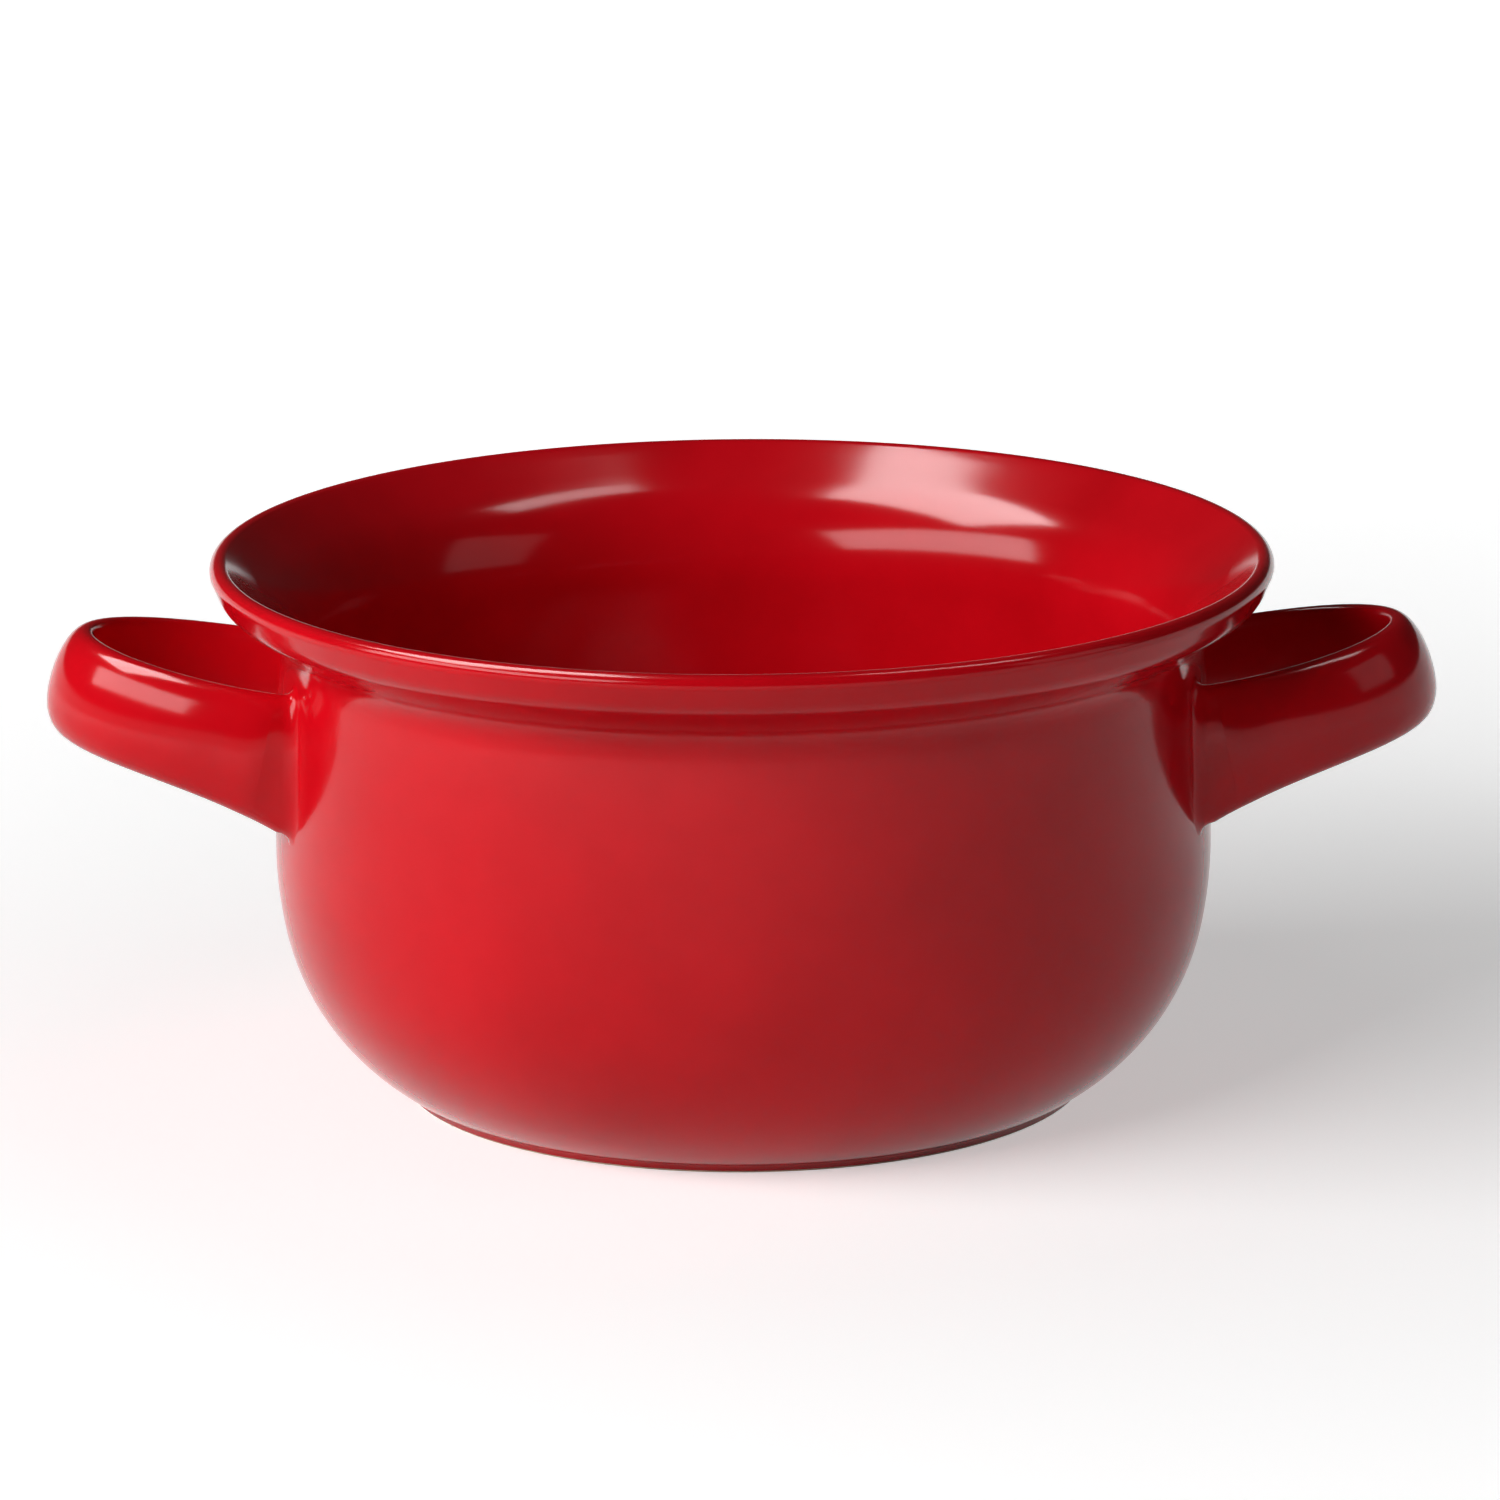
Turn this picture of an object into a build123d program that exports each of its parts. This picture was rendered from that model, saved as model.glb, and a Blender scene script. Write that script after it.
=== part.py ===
from build123d import *
from math import atan2, cos, pi, radians, sin, sqrt
import os

# A glazed stoneware soup crock: a round bowl on a foot ring, with a flared lip and two strap handles.
# Millimetres, +Z up. The origin is the middle of the foot, on the surface the crock stands on.
# The handles lie along X. Sizes are those of the bare clay, and the glaze is added to them.

# Bowl: heights are above the surface it stands on, radii are from the axis
belly_radius = 65.9
belly_height = 35.1
rim_height = 76.3
wall = 4.0
floor_thickness = 5.0
floor_round = 9.0

# Lower wall: how far it has drawn in from the belly where the corner starts, and at the foot
turn_draw = 1.3
turn_height = 23.0
foot_draw = 17.3

# Neck: its draw from the belly, its drop from the rim, and the cove outside it
neck_draw = 1.45
neck_drop = 10.25
neck_cove = 4.0

# Flared lip: its reach from the belly, and its edge, a narrow face that leans in towards its foot
lip_reach = 8.6
lip_face = 3.45
lip_lean = 22.7
lip_round = 1.0
lip_foot_round = 1.0

# Inside of the lip: its slope from upright, and the wide round that leads it down to the wall
flare_slope = 52.0
flare_round = 16.0

# Foot ring
foot_height = 1.4
foot_width = 6.0
foot_edge_round = 0.3
recess_depth = 2.0

# Handles: a strap bent to a loop that narrows to its end, in a plane that rises outwards from the wall
# The strap has a flat back inside the loop and a crowned face outside it
handle_reach = 28.1
handle_half_width = 18.5
bend_length = 27.5
handle_drop = 23.3
handle_tilt = 12.3
strap_height = 14.1
strap_back = 1.0
strap_crown = 3.3
strap_edge_round = 0.8

# Roots: deeper and a little flatter where the strap meets the wall
root_rise = 0.8
root_sink = 3.8
root_crown = 2.6
root_flare = 32.0
root_overrun = 12.0
leg_steps = 3
bend_steps = 10

# Coats and seams
glaze = 0.5
glaze_line = 0.35
slip = 1.0

# Bowl profile, worked out from the sizes above
foot_radius = belly_radius - foot_draw
recess_radius = foot_radius - foot_width
floor_height = recess_depth + floor_thickness
beyond = 4 * belly_radius  # the size of a cutting rectangle wider than the crock
neck = Vector(belly_radius - neck_draw, rim_height - neck_drop)
lip_centre = Vector(belly_radius + lip_reach - lip_round, rim_height - lip_round)
lean = radians(lip_lean)
edge_top = lip_centre + Vector(cos(lean), -sin(lean)) * lip_round
edge_foot = edge_top - Vector(sin(lean), cos(lean)) * lip_face
slope = radians(flare_slope)
flare_top = lip_centre + Vector(-cos(slope), sin(slope)) * lip_round
flare_way = Vector(-sin(slope), -cos(slope))


def outward(tangent):
    """The direction square to a tangent of the wall's line, away from the axis."""
    square = Vector(tangent.Y, -tangent.X)
    return square if square.X > 0 else -square


# The outside of the wall as a line of arcs and straights from the foot to the lip's edge
with BuildLine() as outside:
    lower_belly = TangentArc(
        (belly_radius, belly_height), (belly_radius - turn_draw, turn_height), tangent=(0, -1)
    )
    corner = TangentArc(lower_belly @ 1, (foot_radius, foot_height), tangent=lower_belly % 1)
    upper_belly = TangentArc((belly_radius, belly_height), neck, tangent=(0, 1))
    Line(neck, edge_foot)
    Line(edge_foot, edge_top)
    fillet(outside.vertices().sort_by_distance(neck)[0], radius=neck_cove)
    fillet(outside.vertices().sort_by_distance(edge_foot)[0], radius=lip_foot_round)

# Where the straight slope inside the lip would meet the inner wall
from_belly = flare_top - upper_belly.arc_center
inner_radius = upper_belly.radius - wall
nearing = from_belly.dot(flare_way)
flare_length = -nearing - sqrt(nearing**2 - from_belly.dot(from_belly) + inner_radius**2)
inner_neck = flare_top + flare_way * flare_length

# The inside of the wall, from low in the corner to the lip
with BuildLine() as inside:
    lower_inner = TangentArc(
        (belly_radius - wall, belly_height),
        lower_belly @ 1 - outward(lower_belly % 1) * wall,
        tangent=(0, -1),
    )
    TangentArc(lower_inner @ 1, corner @ 1 - outward(corner % 1) * wall, tangent=lower_inner % 1)
    TangentArc((belly_radius - wall, belly_height), inner_neck, tangent=(0, 1))
    Line(inner_neck, flare_top)
    fillet(inside.vertices().sort_by_distance(inner_neck)[0], radius=flare_round)


def moved(side, distance):
    """One side of the wall moved out by distance, with its foot end and its lip end."""
    with BuildLine() as line:
        for edge in side.edges():
            first = edge @ 0 + outward(edge % 0) * distance
            last = edge @ 1 + outward(edge % 1) * distance
            if edge.geom_type == GeomType.LINE:
                Line(first, last)
            else:
                TangentArc(first, last, tangent=edge % 0)
    ends = line.vertices().sort_by(Axis.Y)
    return line.line, Vector(ends[0]), Vector(ends[-1])


def filled(grow):
    """The solid inside the bowl's outside, grown by grow and closed straight across at foot and lip."""
    line, foot, lip = moved(outside, grow)
    with BuildPart() as solid:
        with BuildSketch(Plane.XZ):
            with BuildLine():
                add(line)
                Polyline(foot, (0, foot.Y), (0, lip.Y), lip)
            make_face()
        revolve(axis=Axis.Z)
    return solid.part


def pot_section(skin):
    """Half of the bowl's section, its foot not yet hollowed, grown all round by skin."""
    outer, foot, outer_lip = moved(outside, skin)
    inner, heel, inner_lip = moved(inside, -skin)
    over = rim_height + wall
    with BuildSketch() as hollow:
        with BuildLine():
            add(inner)
            Polyline(inner_lip, (inner_lip.X, over), (0, over), (0, 0), (heel.X, 0), heel)
        make_face()
        with Locations((0, floor_height + skin)):
            Rectangle(beyond, beyond, align=(Align.CENTER, Align.MAX), mode=Mode.SUBTRACT)
        floor_corner = hollow.vertices().group_by(Axis.Y)[0].sort_by(Axis.X)[-1]
        fillet(floor_corner, radius=floor_round - skin)
    with BuildSketch() as pot:
        with BuildLine():
            add(outer)
            ThreePointArc(outer_lip, lip_centre + Vector(0, lip_round + skin), inner_lip)
            Polyline(inner_lip, (0, inner_lip.Y), (0, 0), (foot.X, 0), foot)
        make_face()
        add(hollow.sketch, mode=Mode.SUBTRACT)
    return pot.sketch


# The right handle's loop lies in this plane, with its legs along the plane's X axis
rise, run = sin(radians(handle_tilt)), cos(radians(handle_tilt))
loop_plane = Plane(
    origin=(belly_radius, 0, rim_height - handle_drop), x_dir=(run, 0, rise), z_dir=(-rise, 0, run)
)
bend_centre = handle_reach / run - bend_length
wall_face = (sqrt(belly_radius**2 - handle_half_width**2) - belly_radius) / run
leg_start = wall_face - root_overrun


def strap_section(centre, heading, grow):
    """One section across the strap at a point of the loop, deeper and flatter towards the wall."""
    rooted = min(1, max(0, 1 - (centre.X - wall_face) / root_flare)) ** 3
    height = strap_height + (root_rise + root_sink) * rooted
    middle = centre + Vector(0, 0, (root_rise - root_sink) / 2 * rooted)
    crown = strap_crown + (root_crown - strap_crown) * rooted + grow
    top, back = height / 2 + grow, strap_back + grow
    ahead = loop_plane.x_dir * cos(heading) + loop_plane.y_dir * sin(heading)
    with BuildSketch(Plane(loop_plane.from_local_coords(middle), loop_plane.z_dir, ahead)) as section:
        with BuildLine():
            face = EllipticalCenterArc((0, 0), top, crown, arc_size=180)
            Polyline(face @ 1, (-top, -back), (top, -back), face @ 0)
        make_face()
        fillet(section.vertices().group_by(Axis.Y)[0], radius=strap_edge_round + grow)
    return section.sketch


def strap(grow):
    """The right handle with its roots cut to the wall, both grown by grow."""
    legs = [leg_start + (bend_centre - leg_start) * i / leg_steps for i in range(leg_steps)]
    turns = [radians(180 * i / bend_steps - 90) for i in range(bend_steps + 1)]
    front = [strap_section(Vector(out, -handle_half_width), 0, grow) for out in legs]
    bend = [
        strap_section(
            Vector(bend_centre + bend_length * cos(turn), handle_half_width * sin(turn)),
            atan2(handle_half_width * cos(turn), -bend_length * sin(turn)),
            grow,
        )
        for turn in turns
    ]
    rear = [strap_section(Vector(out, handle_half_width), pi, grow) for out in reversed(legs)]
    with BuildPart() as loop:
        loft(front + bend + rear)
        add(filled(grow), mode=Mode.SUBTRACT)
    return loop.part


os.makedirs("parts", exist_ok=True)
slip_solid = filled(slip)
strap_clay = {"right": strap(0)}
strap_dipped = {"right": strap(glaze)}
strap_clay["left"] = mirror(strap_clay["right"], about=Plane.YZ)
strap_dipped["left"] = mirror(strap_dipped["right"], about=Plane.YZ)

# The stoneware bowl
with BuildPart() as bowl_body:
    with BuildSketch(Plane.XZ):
        add(pot_section(0))
    revolve(axis=Axis.Z)
    Cylinder(recess_radius, recess_depth, align=(Align.CENTER, Align.CENTER, Align.MIN), mode=Mode.SUBTRACT)
    foot_edges = bowl_body.edges().filter_by(GeomType.CIRCLE).group_by(Axis.Z)[0]
    fillet(foot_edges, radius=foot_edge_round)
bowl_body.part.label = "bowl_body"
export_step(bowl_body.part, "parts/bowl_body.step")

# The glaze on the bowl, from the foot over the lip to the floor, open round the handles' roots
with BuildPart() as bowl_glaze:
    with BuildSketch(Plane.XZ):
        add(pot_section(glaze))
        add(pot_section(0), mode=Mode.SUBTRACT)
        Rectangle(beyond, 2 * glaze_line, mode=Mode.SUBTRACT)
    revolve(axis=Axis.Z)
    for side in ("left", "right"):
        add(strap_clay[side], mode=Mode.SUBTRACT)
bowl_glaze.part.label = "bowl_glaze"
export_step(bowl_glaze.part, "parts/bowl_glaze.step")

# The glaze in the recess under the floor
with BuildPart(Plane.XY.offset(recess_depth)) as base_glaze:
    Cylinder(recess_radius, glaze, align=(Align.CENTER, Align.CENTER, Align.MAX))
base_glaze.part.label = "base_glaze"
export_step(base_glaze.part, "parts/base_glaze.step")

# Each handle, its glaze, and the slip that sticks its two roots to the wall
for side in ("left", "right"):
    with BuildPart() as handle:
        add(strap_clay[side])
        add(slip_solid, mode=Mode.SUBTRACT)
    handle.part.label = f"{side}_handle"
    export_step(handle.part, f"parts/{side}_handle.step")

    with BuildPart() as handle_glaze:
        add(strap_dipped[side])
        add(strap_clay[side], mode=Mode.SUBTRACT)
    handle_glaze.part.label = f"{side}_handle_glaze"
    export_step(handle_glaze.part, f"parts/{side}_handle_glaze.step")

    for end, keep in (("front", Keep.TOP), ("rear", Keep.BOTTOM)):
        with BuildPart() as slip_joint:
            add(strap_clay[side])
            add(slip_solid, mode=Mode.INTERSECT)
            split(bisect_by=Plane.XZ, keep=keep)
        slip_joint.part.label = f"{side}_{end}_slip_joint"
        export_step(slip_joint.part, f"parts/{side}_{end}_slip_joint.step")
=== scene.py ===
from math import atan2, cos, exp, hypot, pi, radians, sin, sqrt

import bmesh
import bpy
from mathutils import Matrix, Vector


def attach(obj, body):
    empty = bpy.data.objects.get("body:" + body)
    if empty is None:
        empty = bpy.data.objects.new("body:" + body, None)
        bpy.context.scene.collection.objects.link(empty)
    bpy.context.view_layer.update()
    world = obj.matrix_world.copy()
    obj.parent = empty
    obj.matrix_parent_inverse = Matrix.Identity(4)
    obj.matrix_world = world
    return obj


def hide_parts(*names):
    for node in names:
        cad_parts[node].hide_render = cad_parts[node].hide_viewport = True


# A red-glazed stoneware soup crock, in metres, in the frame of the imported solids.
# The clay and slip stay as they are packed, and the glaze over them is modelled here.

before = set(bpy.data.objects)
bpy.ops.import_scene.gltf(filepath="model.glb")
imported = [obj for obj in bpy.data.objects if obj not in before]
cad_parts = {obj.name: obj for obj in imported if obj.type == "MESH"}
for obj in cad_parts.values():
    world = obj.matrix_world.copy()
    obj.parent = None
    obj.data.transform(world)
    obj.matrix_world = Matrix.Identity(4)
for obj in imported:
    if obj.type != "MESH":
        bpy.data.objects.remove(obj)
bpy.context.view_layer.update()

MM = 0.001

# Bowl, bare clay: radii from the axis, heights above the table
BELLY = Vector((65.9, 35.1)) * MM
TURN = Vector((64.6, 23.0)) * MM
FOOT = Vector((48.6, 1.4)) * MM
NECK = Vector((64.45, 66.05)) * MM
NECK_COVE = 4.0 * MM
NECK_SOFT = 6.5 * MM
WALL = 4.0 * MM
FLOOR_HEIGHT = 7.0 * MM
FLOOR_ROUND = 9.0 * MM

# Lip: a narrow edge that leans in towards its foot, and the slope inside it
LIP_CENTRE = Vector((73.5, 75.3)) * MM
LIP_ROUND = 1.0 * MM
LIP_FACE = 3.45 * MM
LIP_LEAN = radians(22.7)
LIP_FOOT_ROUND = 1.0 * MM
LIP_FOOT_SOFT = 4.5 * MM
FLARE_SLOPE = radians(52)
FLARE_ROUND = 16.0 * MM

# Foot
RECESS_RADIUS = 42.6 * MM
RECESS_DEPTH = 2.0 * MM

# Glaze
GLAZE = 0.5 * MM
GLAZE_LINE = 0.35 * MM
GLAZE_ROLL = 0.2 * MM
MENISCUS = 1.1 * MM

# Handles, with their glaze: a strap with a full outer face and a flat inner one
HANDLE_TILT = radians(12.3)
HANDLE_HEIGHT = 53.0 * MM
LOOP_HALF = 18.5 * MM
BEND_LENGTH = 27.5 * MM
LOOP_REACH = 28.1 * MM
STRAP_FACE = 3.8 * MM
STRAP_BACK = 1.4 * MM
STRAP_HIGH = 15.1 * MM
FACE_FULLNESS = 2.2
FACE_LEAN = 0.15
BACK_FULLNESS = 3.5
COAT = 0.2 * MM

# Roots: deeper and flatter at the wall, rounded off to the cove round them
ROOT_FACE = 3.1 * MM
ROOT_RISE = 0.8 * MM
ROOT_SINK = 3.8 * MM
ROOT_FLARE = 32.0 * MM
ROOT_COVE = 2.0 * MM
ROOT_SWELL = 0.6 * MM
SWELL_OUT = 5.0 * MM
SWELL_LONG = 2.4 * MM
STRAP_SIDES = 48
LEG_RINGS = 14
BEND_RINGS = 40
COVE_RINGS = 8

# Mesh: turns round the axis, the gap that welds points, the steps of a search, and a root's bite in the wall
TURNS = 192
WELD = 0.002 * MM
SEARCH_STEPS = 40
WALL_BITE = 0.04 * MM

# Clouding of the red glaze and of the bare clay, from dark to pale
RED_CLOUDS = (
    (0.30, (0.50, 0.0018, 0.006)),
    (0.55, (0.58, 0.0024, 0.008)),
    (0.78, (0.64, 0.0034, 0.010)),
)
CLAY_CLOUDS = ((0.3, (0.56, 0.46, 0.34)), (0.7, (0.72, 0.62, 0.49)))

# Studio: a round table with a low sweep at its edge, lifted more to white away from the crock
TABLE_RADIUS = 2.4
SWEEP_ROUND = 0.2
SWEEP_HEIGHT = 0.28
TABLE_GREY = (0.80, 0.80, 0.80, 1)
WHITE = (1, 1, 1, 1)
NEAR = 0.10
FAR = 0.60
NEAR_LIFT = 0.45
FAR_LIFT = 0.95
ROOM_LIGHT = 0.03
BELLY_AIM = Vector((0, 0, 0.04))
BOWL_AIM = Vector((0, 0, 0.05))

# Camera: a long lens, a little above the crock and a little towards its left handle
CAMERA_DISTANCE = 1.2
CAMERA_RISE = radians(14.764)
CAMERA_YAW = radians(1.05)
CAMERA_ROLL = radians(-0.35)
CAMERA_PIVOT = Vector((0, 0, 0.039))
CAMERA_NEAR = 0.05
SENSOR = 36
FRAME_SIDE = 1500
FOCAL_PIXELS = 8444.4
PIVOT_PIXEL = Vector((742.9, 809.06))


def arc_from_upright(start, end):
    """Radius of the arc that leaves start upright and passes through end, bending to the axis."""
    draw = start.x - end.x
    climb = end.y - start.y
    return (draw * draw + climb * climb) / (2 * draw)


# Centres and radii of the arcs that the clay's outside is turned to
LOWER_RADIUS = arc_from_upright(BELLY, TURN)
LOWER_CENTRE = BELLY - Vector((LOWER_RADIUS, 0))
UPPER_RADIUS = arc_from_upright(BELLY, NECK)
UPPER_CENTRE = BELLY - Vector((UPPER_RADIUS, 0))
TURN_INWARD = (LOWER_CENTRE - TURN).normalized()
FOOT_STEP = FOOT - TURN
CORNER_RADIUS = FOOT_STEP.length_squared / (2 * FOOT_STEP.dot(TURN_INWARD))
CORNER_CENTRE = TURN + TURN_INWARD * CORNER_RADIUS
EDGE_SIDE = Vector((cos(LIP_LEAN), -sin(LIP_LEAN)))
EDGE_FOOT = LIP_CENTRE + EDGE_SIDE * LIP_ROUND - Vector((sin(LIP_LEAN), cos(LIP_LEAN))) * LIP_FACE
UNDER_WAY = (EDGE_FOOT - NECK).normalized()
UNDER_SIDE = Vector((UNDER_WAY.y, -UNDER_WAY.x))
UNDER_BEARING = atan2(UNDER_SIDE.y, UNDER_SIDE.x)
FLARE_SIDE = Vector((-cos(FLARE_SLOPE), sin(FLARE_SLOPE)))
FLARE_WAY = Vector((-sin(FLARE_SLOPE), -cos(FLARE_SLOPE)))
FLARE_OFFSET = LIP_CENTRE + FLARE_SIDE * (LIP_ROUND - FLARE_ROUND) - UPPER_CENTRE
FLARE_ALONG = FLARE_OFFSET.dot(FLARE_WAY)
FLARE_REACH = UPPER_RADIUS - WALL + FLARE_ROUND
FLARE_SHIFT = -FLARE_ALONG - sqrt(FLARE_ALONG ** 2 - FLARE_OFFSET.length_squared + FLARE_REACH ** 2)
FLARE_CENTRE = UPPER_CENTRE + FLARE_OFFSET + FLARE_WAY * FLARE_SHIFT
HEEL_DROP = FLOOR_HEIGHT + FLOOR_ROUND - CORNER_CENTRE.y
HEEL_REACH = sqrt((CORNER_RADIUS - WALL - FLOOR_ROUND) ** 2 - HEEL_DROP ** 2)
HEEL_CENTRE = CORNER_CENTRE + Vector((HEEL_REACH, HEEL_DROP))


def bearing(centre, point):
    """Angle of a profile point seen from an arc's centre."""
    return atan2(point.y - centre.y, point.x - centre.x)


FOOT_BEARING = bearing(CORNER_CENTRE, FOOT)
TURN_BEARING = bearing(CORNER_CENTRE, TURN)
HEEL_BEARING = bearing(CORNER_CENTRE, HEEL_CENTRE)
FLARE_BEARING = bearing(UPPER_CENTRE, FLARE_CENTRE)


def neck_cove(cove):
    """Centre of a cove of this radius between the upper wall and the underside of the lip."""
    offset = NECK + UNDER_SIDE * cove - UPPER_CENTRE
    along = offset.dot(UNDER_WAY)
    shift = sqrt(along ** 2 - offset.length_squared + (UPPER_RADIUS + cove) ** 2) - along
    return UPPER_CENTRE + offset + UNDER_WAY * shift


def lip_foot(rounding):
    """Centre of a round of this radius at the foot of the lip's edge."""
    return EDGE_FOOT - (EDGE_SIDE + UNDER_SIDE) * rounding / (1 + EDGE_SIDE.dot(UNDER_SIDE))


def new_vertex(bm, place):
    """A profile starts from one vertex, in the XZ plane."""
    return bm.verts.new((place.x, 0, place.y))


def straight(bm, tip, place, steps=1):
    """Draws the profile on from its tip in a straight line."""
    start = Vector((tip.co.x, tip.co.z))
    for step in range(1, steps + 1):
        tip = bmesh.ops.extrude_vert_indiv(bm, verts=[tip])["verts"][0]
        reached = start.lerp(place, step / steps)
        tip.co = (reached.x, 0, reached.y)
    return tip


def arc(bm, tip, centre, sweep, steps):
    """Draws the profile on from its tip round a centre, anticlockwise for a positive sweep."""
    turned = bmesh.ops.spin(
        bm, geom=[tip], cent=(centre.x, 0, centre.y), axis=(0, -1, 0), angle=sweep, steps=steps
    )
    return next(part for part in turned["geom_last"] if isinstance(part, bmesh.types.BMVert))


def pot_line(bm, tip, skin, fine):
    """Draws the outside, the lip and the inside down to the floor's centre, grown and softened by skin."""
    cove_centre = neck_cove(NECK_SOFT if skin else NECK_COVE)
    cove_bearing = bearing(UPPER_CENTRE, cove_centre)
    foot_round = LIP_FOOT_SOFT if skin else LIP_FOOT_ROUND
    tip = arc(bm, tip, CORNER_CENTRE, TURN_BEARING - FOOT_BEARING, 9 * fine)
    tip = arc(bm, tip, LOWER_CENTRE, -TURN_BEARING, 3 * fine)
    tip = arc(bm, tip, UPPER_CENTRE, cove_bearing, 5 * fine)
    tip = arc(bm, tip, cove_centre, UNDER_BEARING - cove_bearing, 3 * fine)
    tip = straight(bm, tip, lip_foot(foot_round) + UNDER_SIDE * (foot_round + skin), fine)
    tip = arc(bm, tip, lip_foot(foot_round), -LIP_LEAN - UNDER_BEARING, 3 * fine)
    tip = straight(bm, tip, LIP_CENTRE + EDGE_SIDE * (LIP_ROUND + skin), fine)
    tip = arc(bm, tip, LIP_CENTRE, pi - FLARE_SLOPE + LIP_LEAN, 5 * fine)
    tip = straight(bm, tip, FLARE_CENTRE + FLARE_SIDE * (FLARE_ROUND + skin), fine)
    tip = arc(bm, tip, FLARE_CENTRE, FLARE_SLOPE + FLARE_BEARING, 5 * fine)
    tip = arc(bm, tip, UPPER_CENTRE, -FLARE_BEARING, 4 * fine)
    tip = arc(bm, tip, LOWER_CENTRE, TURN_BEARING, 3 * fine)
    tip = arc(bm, tip, CORNER_CENTRE, HEEL_BEARING - TURN_BEARING, 7 * fine)
    tip = arc(bm, tip, HEEL_CENTRE, -pi / 2 - HEEL_BEARING, 3 * fine)
    return straight(bm, tip, Vector((0, FLOOR_HEIGHT + skin)), 8 * fine)


def foot_start(skin):
    """Where the corner's arc meets the foot, on the clay grown by skin."""
    way = Vector((cos(FOOT_BEARING), sin(FOOT_BEARING)))
    return CORNER_CENTRE + way * (CORNER_RADIUS + skin)


def finished(name, bm, material, slot, *nodes):
    """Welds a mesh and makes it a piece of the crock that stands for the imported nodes."""
    bmesh.ops.remove_doubles(bm, verts=bm.verts[:], dist=WELD)
    bmesh.ops.recalc_face_normals(bm, faces=bm.faces[:])
    mesh = bpy.data.meshes.new(name)
    bm.to_mesh(mesh)
    bm.free()
    mesh.shade_smooth()
    mesh.materials.append(material)
    piece = bpy.data.objects.new(name, mesh)
    bpy.context.scene.collection.objects.link(piece)
    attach(piece, "root")
    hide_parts(*nodes)
    return piece


def thrown(bm):
    """Turns the profile once round the crock's axis."""
    bmesh.ops.spin(
        bm, geom=bm.verts[:] + bm.edges[:], cent=(0, 0, 0), axis=(0, 0, 1),
        angle=2 * pi, steps=TURNS, use_merge=True,
    )


def bowl_coat(material):
    """The glaze on the bowl: a coat with its own thickness, from the foot over the lip to the floor."""
    bm = bmesh.new()
    edge = new_vertex(bm, Vector((FOOT.x, GLAZE_LINE)))
    clay = straight(bm, edge, FOOT)
    pot_line(bm, clay, 0, 1)
    face = straight(bm, edge, Vector((FOOT.x + GLAZE_ROLL, GLAZE_LINE)))
    face = straight(bm, face, foot_start(GLAZE))
    pot_line(bm, face, GLAZE, 4)
    thrown(bm)
    return finished("bowl_glaze_coat", bm, material, "red_glaze", "bowl_glaze")


def recess_coat(material):
    """The glaze under the floor, drawn up a little where it wets the foot ring."""
    bm = bmesh.new()
    roof = new_vertex(bm, Vector((0, RECESS_DEPTH)))
    roof = straight(bm, roof, Vector((RECESS_RADIUS, RECESS_DEPTH)))
    roof = straight(bm, roof, Vector((RECESS_RADIUS, RECESS_DEPTH - GLAZE - MENISCUS / 2)))
    skin_height = RECESS_DEPTH - GLAZE
    shoulder = Vector((RECESS_RADIUS - MENISCUS, skin_height))
    skin = new_vertex(bm, Vector((0, skin_height)))
    skin = straight(bm, skin, shoulder)
    wetted = arc(bm, skin, shoulder - Vector((0, MENISCUS)), -pi / 3, 6)
    bm.edges.new((wetted, roof))
    thrown(bm)
    return finished("recess_glaze_coat", bm, material, "red_glaze", "base_glaze")


# The handle's loop lies in a plane that rises outwards; X runs out along its legs
RISE, RUN = sin(HANDLE_TILT), cos(HANDLE_TILT)
LOOP_PLANE = Matrix((
    (RUN, 0, -RISE, BELLY.x),
    (0, 1, 0, 0),
    (RISE, 0, RUN, HANDLE_HEIGHT),
    (0, 0, 0, 1),
))
BEND_CENTRE = LOOP_REACH / RUN - BEND_LENGTH
WALL_FACE = (sqrt(BELLY.x ** 2 - LOOP_HALF ** 2) - BELLY.x) / RUN


def wall_radius(height):
    """Radius of the glazed wall at a height above the belly."""
    arc_radius = UPPER_RADIUS + GLAZE
    return UPPER_CENTRE.x + sqrt(arc_radius ** 2 - (height - BELLY.y) ** 2)


def on_section(out, across, up):
    """Point of the strap's section: how far outside the loop's line it is, and how high."""
    rooted = min(1, max(0, 1 - (out - WALL_FACE) / ROOT_FLARE)) ** 3
    half_thick = STRAP_BACK
    if across > 0:
        swell = ROOT_SWELL * exp(-(((out - WALL_FACE - SWELL_OUT) / SWELL_LONG) ** 2))
        half_thick = (STRAP_FACE + (ROOT_FACE - STRAP_FACE) * rooted + swell) * (1 - FACE_LEAN * up)
    half_high = (STRAP_HIGH + (ROOT_RISE + ROOT_SINK) * rooted) / 2
    return across * half_thick, up * half_high + (ROOT_RISE - ROOT_SINK) / 2 * rooted


def on_leg(out, across, up, side):
    """Point on a leg of the strap, in the crock's frame; the front leg's side is -1."""
    beyond, height = on_section(out, across, up)
    return LOOP_PLANE @ Vector((out, side * (LOOP_HALF + beyond), height))


def on_bend(turn, across, up):
    """Point on the strap's bend, in the crock's frame."""
    line = Vector((BEND_CENTRE + BEND_LENGTH * cos(turn), LOOP_HALF * sin(turn)))
    square = Vector((LOOP_HALF * cos(turn), BEND_LENGTH * sin(turn))).normalized()
    beyond, height = on_section(line.x, across, up)
    return LOOP_PLANE @ Vector((*(line + square * beyond), height))


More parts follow.
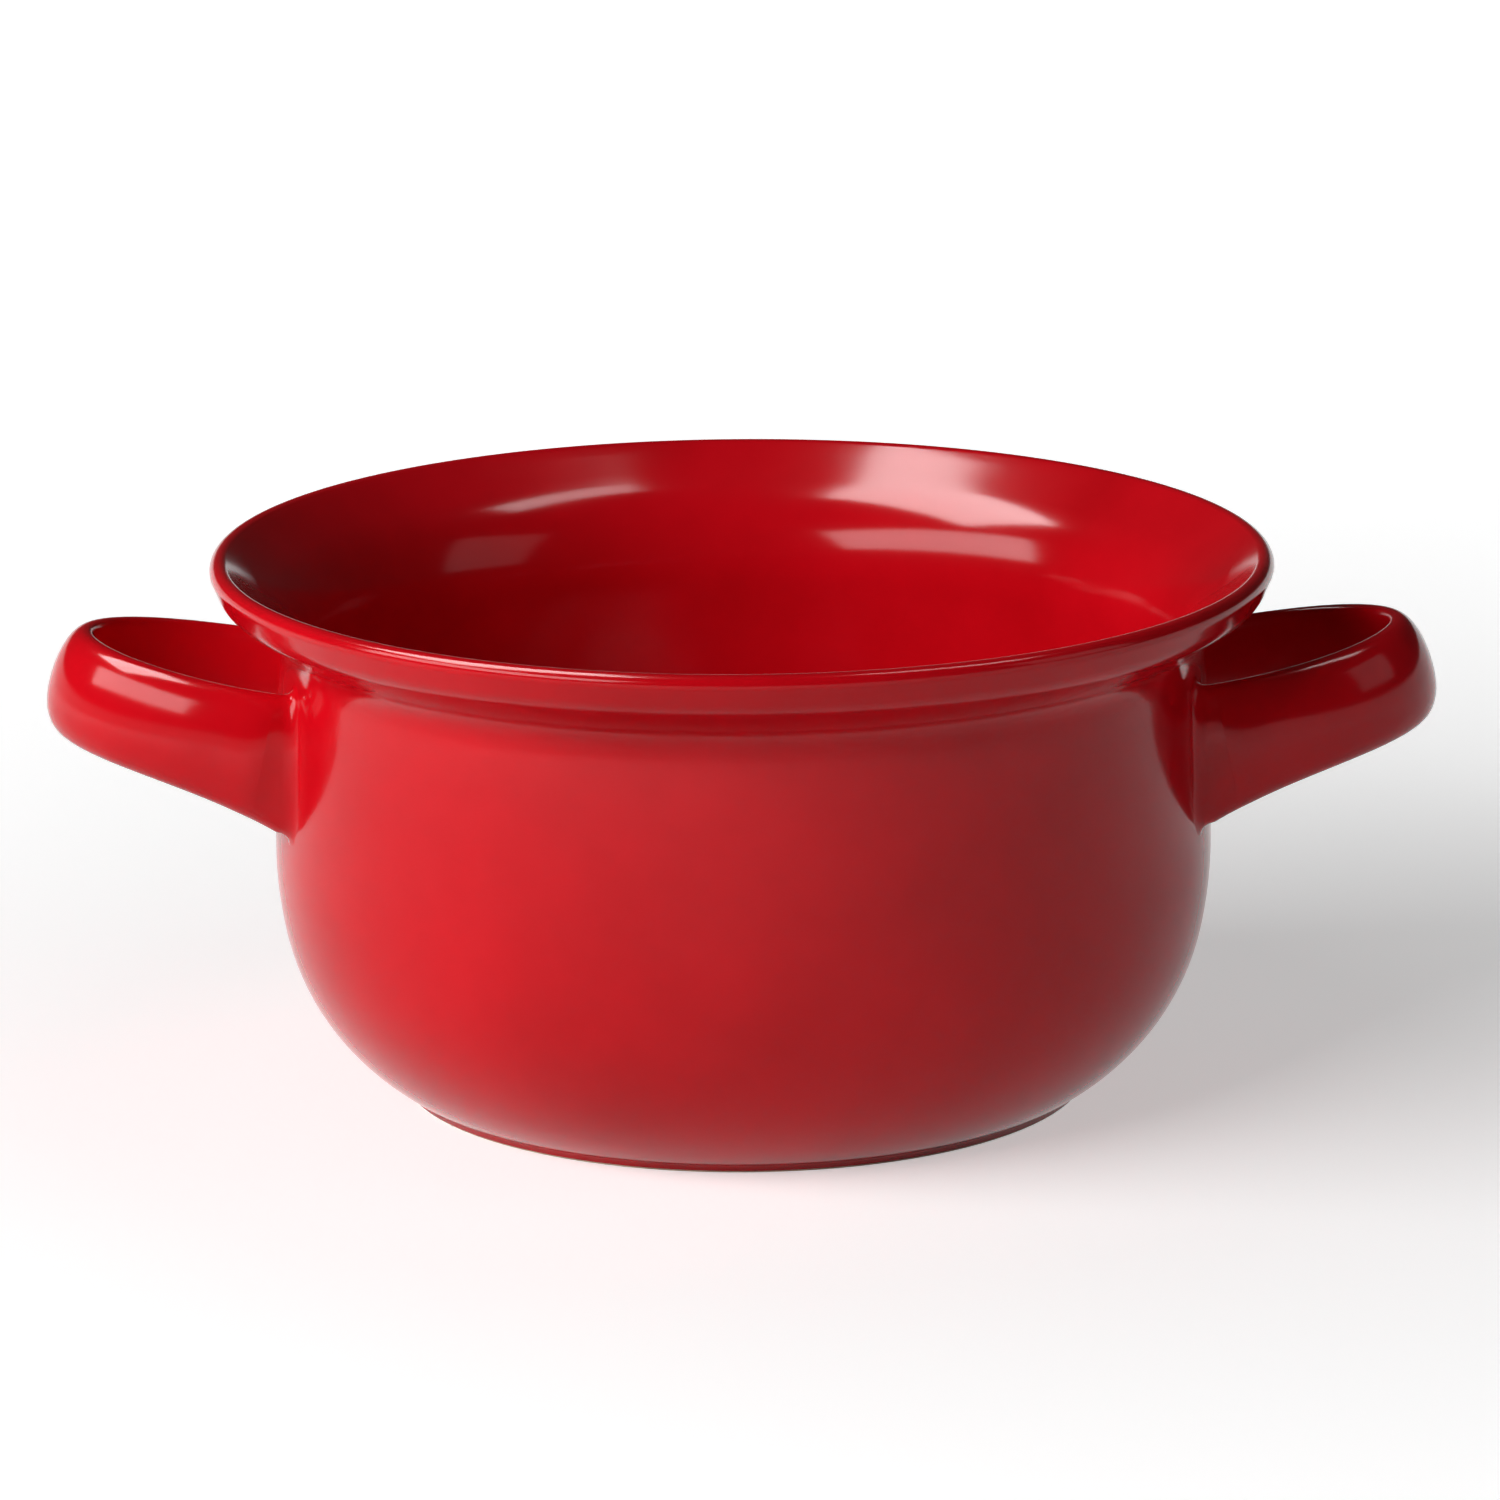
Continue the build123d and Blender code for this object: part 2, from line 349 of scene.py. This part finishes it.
def wall_contact(across, up, side):
    """How far out along a leg its surface meets the glazed wall."""
    inside, outside = WALL_FACE - 3 * WALL, BEND_CENTRE
    for _ in range(SEARCH_STEPS):
        middle = (inside + outside) / 2
        place = on_leg(middle, across, up, side)
        if hypot(place.x, place.y) > wall_radius(place.z):
            outside = middle
        else:
            inside = middle
    return (inside + outside) / 2


def root_line(across, up, side):
    """Points of one lengthwise line of a leg: out of the wall, round the cove and on to the bend."""
    contact = wall_contact(across, up, side)
    corner = on_leg(contact, across, up, side)
    leaves = on_leg(contact + ROOT_COVE, across, up, side)
    spread = LOOP_PLANE.to_3x3() @ Vector((0, side * across, up)).normalized()
    lands = corner + spread * ROOT_COVE
    shrink = (wall_radius(lands.z) - WALL_BITE) / hypot(lands.x, lands.y)
    lands.x *= shrink
    lands.y *= shrink
    line = []
    for ring in range(COVE_RINGS):
        t = ring / COVE_RINGS
        line.append(lands * (1 - t) ** 2 + corner * (2 * t * (1 - t)) + leaves * t ** 2)
    for ring in range(LEG_RINGS):
        out = contact + ROOT_COVE + (BEND_CENTRE - contact - ROOT_COVE) * ring / LEG_RINGS
        line.append(on_leg(out, across, up, side))
    return line


def full(value, fullness):
    """Swells a round section to a fuller one."""
    return abs(value) ** (2 / fullness) * (1 if value > 0 else -1)


def strap_line(corner):
    """One lengthwise line of the whole strap, from the front root round the bend to the rear root."""
    fullness = FACE_FULLNESS if corner.co.x > 0 else BACK_FULLNESS
    across, up = full(corner.co.x, fullness), full(corner.co.y, fullness)
    front = root_line(across, up, -1)
    turns = [pi * ring / BEND_RINGS - pi / 2 for ring in range(BEND_RINGS + 1)]
    bend = [on_bend(turn, across, up) for turn in turns]
    rear = root_line(across, up, 1)
    return front + bend + rear[::-1]


def handle_coat(side, hand, material):
    """The glaze on one handle, with a cove where each root meets the wall."""
    bm = bmesh.new()
    ring = bmesh.ops.create_circle(bm, segments=STRAP_SIDES, radius=1)["verts"]
    lines = [strap_line(corner) for corner in ring]
    for corner, line in zip(ring, lines):
        corner.co = line[0]
    edges = bm.edges[:]
    for step in range(1, len(lines[0])):
        grown = bmesh.ops.extrude_edge_only(bm, edges=edges)["geom"]
        edges = [part for part in grown if isinstance(part, bmesh.types.BMEdge) and part.is_boundary]
        for corner in [part for part in grown if isinstance(part, bmesh.types.BMVert)]:
            nearest = min(lines, key=lambda line: (line[step - 1] - corner.co).length_squared)
            corner.co = nearest[step]
    bmesh.ops.scale(bm, vec=(hand, 1, 1), verts=bm.verts[:])
    piece = finished(f"{side}_handle_glaze_coat", bm, material, "red_glaze", f"{side}_handle_glaze")
    shell = piece.modifiers.new("coat", "SOLIDIFY")
    shell.thickness = COAT
    shell.offset = -1
    return piece


def node(tree, kind, **inputs):
    """Adds a shader node and sets its plain inputs."""
    made = tree.nodes.new(kind)
    for key, value in inputs.items():
        made.inputs[key.replace("_", " ")].default_value = value
    return made


def ramp(tree, source, stops):
    """Colour ramp over a grey source."""
    made = tree.nodes.new("ShaderNodeValToRGB")
    bar = made.color_ramp.elements
    while len(bar) < len(stops):
        bar.new(0.5)
    for element, (place, colour) in zip(bar, stops):
        element.position = place
        element.color = (*colour, 1)
    tree.links.new(source, made.inputs["Fac"])
    return made.outputs["Color"]


def surface(name):
    """An empty material with its shader and the place on the piece."""
    material = bpy.data.materials.new(name)
    material.use_nodes = True
    tree = material.node_tree
    shader = tree.nodes["Principled BSDF"]
    place = tree.nodes.new("ShaderNodeTexCoord").outputs["Object"]
    return material, tree, shader, place


def red_glaze():
    """Glossy red glaze: clouded colour, a varying gloss and a soft ripple."""
    material, tree, shader, place = surface("red_glaze")
    link = tree.links.new
    cloud = node(tree, "ShaderNodeTexNoise", Scale=32, Detail=4, Roughness=0.55)
    link(place, cloud.inputs["Vector"])
    link(ramp(tree, cloud.outputs["Fac"], RED_CLOUDS), shader.inputs["Base Color"])
    shader.inputs["Specular IOR Level"].default_value = 0.19
    gloss = node(tree, "ShaderNodeTexNoise", Scale=70, Detail=3, Roughness=0.5)
    link(place, gloss.inputs["Vector"])
    rough = tree.nodes.new("ShaderNodeMapRange")
    rough.inputs["To Min"].default_value = 0.10
    rough.inputs["To Max"].default_value = 0.16
    link(gloss.outputs["Fac"], rough.inputs["Value"])
    link(rough.outputs["Result"], shader.inputs["Roughness"])
    ripple = node(tree, "ShaderNodeTexNoise", Scale=55, Detail=2, Roughness=0.4)
    link(place, ripple.inputs["Vector"])
    wave = node(tree, "ShaderNodeBump", Strength=0.10, Distance=0.6 * MM)
    link(ripple.outputs["Fac"], wave.inputs["Height"])
    link(wave.outputs["Normal"], shader.inputs["Normal"])
    return material


def stoneware():
    """Bare fired clay: buff and clouded, with a fine tooth."""
    material, tree, shader, place = surface("stoneware")
    link = tree.links.new
    cloud = node(tree, "ShaderNodeTexNoise", Scale=90, Detail=5, Roughness=0.6)
    link(place, cloud.inputs["Vector"])
    link(ramp(tree, cloud.outputs["Fac"], CLAY_CLOUDS), shader.inputs["Base Color"])
    shader.inputs["Roughness"].default_value = 0.85
    tooth = node(tree, "ShaderNodeTexNoise", Scale=1600, Detail=3, Roughness=0.6)
    link(place, tooth.inputs["Vector"])
    grain = node(tree, "ShaderNodeBump", Strength=0.3, Distance=0.1 * MM)
    link(tooth.outputs["Fac"], grain.inputs["Height"])
    link(grain.outputs["Normal"], shader.inputs["Normal"])
    return material


glaze_finish = red_glaze()
clay_finish = stoneware()
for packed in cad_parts.values():
    packed.data.materials.clear()
    packed.data.materials.append(clay_finish)

bowl_coat(glaze_finish)
recess_coat(glaze_finish)
handle_coat("right", 1, glaze_finish)
handle_coat("left", -1, glaze_finish)


def studio():
    """The pale table and the sweep behind it, lifted to white for the eye and for reflections."""
    material, tree, shader, place = surface("table")
    shader.inputs["Base Color"].default_value = TABLE_GREY
    shader.inputs["Roughness"].default_value = 0.9
    shader.inputs["Specular IOR Level"].default_value = 0.0
    ray = tree.nodes.new("ShaderNodeLightPath")
    seen = ray.outputs["Is Camera Ray"]
    for kind in ("Is Glossy Ray", "Is Transmission Ray"):
        either = tree.nodes.new("ShaderNodeMath")
        either.operation = "MAXIMUM"
        tree.links.new(seen, either.inputs[0])
        tree.links.new(ray.outputs[kind], either.inputs[1])
        seen = either.outputs["Value"]
    away = tree.nodes.new("ShaderNodeVectorMath")
    away.operation = "LENGTH"
    tree.links.new(place, away.inputs[0])
    fade = tree.nodes.new("ShaderNodeMapRange")
    fade.inputs["From Min"].default_value = NEAR
    fade.inputs["From Max"].default_value = FAR
    fade.inputs["To Min"].default_value = NEAR_LIFT
    fade.inputs["To Max"].default_value = FAR_LIFT
    tree.links.new(away.outputs["Value"], fade.inputs["Value"])
    lift = tree.nodes.new("ShaderNodeMath")
    lift.operation = "MULTIPLY"
    tree.links.new(seen, lift.inputs[0])
    tree.links.new(fade.outputs["Result"], lift.inputs[1])
    tree.links.new(lift.outputs["Value"], shader.inputs["Emission Strength"])
    shader.inputs["Emission Color"].default_value = WHITE
    bm = bmesh.new()
    tip = new_vertex(bm, Vector((0, 0)))
    tip = straight(bm, tip, Vector((TABLE_RADIUS, 0)))
    tip = arc(bm, tip, Vector((TABLE_RADIUS, SWEEP_ROUND)), pi / 2, 16)
    straight(bm, tip, Vector((TABLE_RADIUS + SWEEP_ROUND, SWEEP_HEIGHT)))
    thrown(bm)
    bmesh.ops.remove_doubles(bm, verts=bm.verts[:], dist=MM)
    bmesh.ops.recalc_face_normals(bm, faces=bm.faces[:])
    mesh = bpy.data.meshes.new("table")
    bm.to_mesh(mesh)
    bm.free()
    mesh.shade_smooth()
    mesh.materials.append(material)
    table = bpy.data.objects.new("table", mesh)
    bpy.context.scene.collection.objects.link(table)


studio()


def softbox(name, place, aim, width, height, power):
    """A rectangular soft light that faces a point of the crock."""
    lamp = bpy.data.lights.new(name, "AREA")
    lamp.shape = "RECTANGLE"
    lamp.size = width
    lamp.size_y = height
    lamp.energy = power
    light = bpy.data.objects.new(name, lamp)
    light.location = place
    light.rotation_euler = (aim - light.location).to_track_quat("-Z", "Y").to_euler()
    bpy.context.scene.collection.objects.link(light)
    return light


softbox("left", (-0.975, -0.575, 0.675), BELLY_AIM, 1.4, 0.45, 19.5)
softbox("right", (1.15, -0.30, 0.60), BELLY_AIM, 0.6, 0.6, 1.0)

# Two panels overhead that show in the glaze and light nothing else
glint = softbox("overhead_right", (0.36, 0.06, 0.93), BOWL_AIM, 0.16, 0.34, 1.8)
glint.visible_diffuse = False
shine = softbox("overhead_left", (-0.46, 0.04, 0.90), BOWL_AIM, 0.50, 0.56, 20)
shine.visible_diffuse = False

world = bpy.data.worlds.new("studio")
world.use_nodes = True
world.node_tree.nodes["Background"].inputs["Color"].default_value = WHITE
world.node_tree.nodes["Background"].inputs["Strength"].default_value = ROOM_LIGHT
bpy.context.scene.world = world
bpy.context.scene.view_settings.view_transform = "Standard"


def camera():
    """Stands the camera so that the pivot falls on its pixel of the square frame."""
    back = Vector((
        -sin(CAMERA_YAW) * cos(CAMERA_RISE), -cos(CAMERA_YAW) * cos(CAMERA_RISE), sin(CAMERA_RISE)
    ))
    lens = bpy.data.cameras.new("camera")
    lens.sensor_width = SENSOR
    lens.lens = FOCAL_PIXELS / FRAME_SIDE * SENSOR
    lens.clip_start = CAMERA_NEAR
    view = bpy.data.objects.new("camera", lens)
    view.location = CAMERA_PIVOT + back * CAMERA_DISTANCE
    turn = back.to_track_quat("Z", "Y").to_matrix()
    right_by = (FRAME_SIDE / 2 - PIVOT_PIXEL.x) / FOCAL_PIXELS
    up_by = (PIVOT_PIXEL.y - FRAME_SIDE / 2) / FOCAL_PIXELS
    turn = turn @ Matrix.Rotation(-right_by, 3, "Y") @ Matrix.Rotation(up_by, 3, "X")
    turn = turn @ Matrix.Rotation(CAMERA_ROLL, 3, "Z")
    view.rotation_euler = turn.to_euler()
    bpy.context.scene.collection.objects.link(view)
    bpy.context.scene.camera = view


camera()
